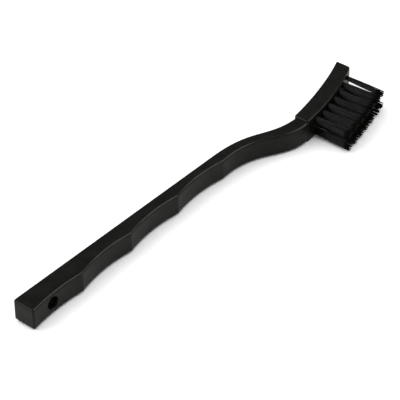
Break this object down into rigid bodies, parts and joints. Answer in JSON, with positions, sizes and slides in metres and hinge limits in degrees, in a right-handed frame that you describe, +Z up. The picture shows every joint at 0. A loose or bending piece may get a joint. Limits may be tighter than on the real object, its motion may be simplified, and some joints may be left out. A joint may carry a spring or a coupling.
{
  "type": "crevice brush",
  "caption": "Black plastic crevice brush with a finger-scalloped handle, a raised neck and a curved narrow head set with two rows of stiff bristle tufts.",
  "frame": {"origin": "middle of the bounding box, on the surface that the brush lies on", "axes": "+X along the handle from its end to the head's tip, +Z up out of the side it lies on, and the bristles point to -Y"},
  "size_m": [0.175, 0.0312, 0.0092],
  "materials": {
    "moulded_handle": "satin black injection moulding with a fine bead-blasted surface",
    "bristle": "black nylon filament, cut square and slightly splayed",
    "anchor_plate": "stamped flat nickel-brass plate"
  },
  "bodies": {
    "root": {"handle": "moulded_handle", "tuft_upper_1": "bristle", "tuft_upper_2": "bristle", "tuft_upper_3": "bristle", "tuft_upper_4": "bristle", "tuft_upper_5": "bristle", "tuft_upper_6": "bristle", "tuft_upper_7": "bristle", "tuft_lower_1": "bristle", "tuft_lower_2": "bristle", "tuft_lower_3": "bristle", "tuft_lower_4": "bristle", "tuft_lower_5": "bristle", "tuft_lower_6": "bristle", "tuft_lower_7": "bristle", "anchor_upper_1": "anchor_plate", "anchor_upper_2": "anchor_plate", "anchor_upper_3": "anchor_plate", "anchor_upper_4": "anchor_plate", "anchor_upper_5": "anchor_plate", "anchor_upper_6": "anchor_plate", "anchor_upper_7": "anchor_plate", "anchor_lower_1": "anchor_plate", "anchor_lower_2": "anchor_plate", "anchor_lower_3": "anchor_plate", "anchor_lower_4": "anchor_plate", "anchor_lower_5": "anchor_plate", "anchor_lower_6": "anchor_plate", "anchor_lower_7": "anchor_plate"}
  },
  "joints": []
}
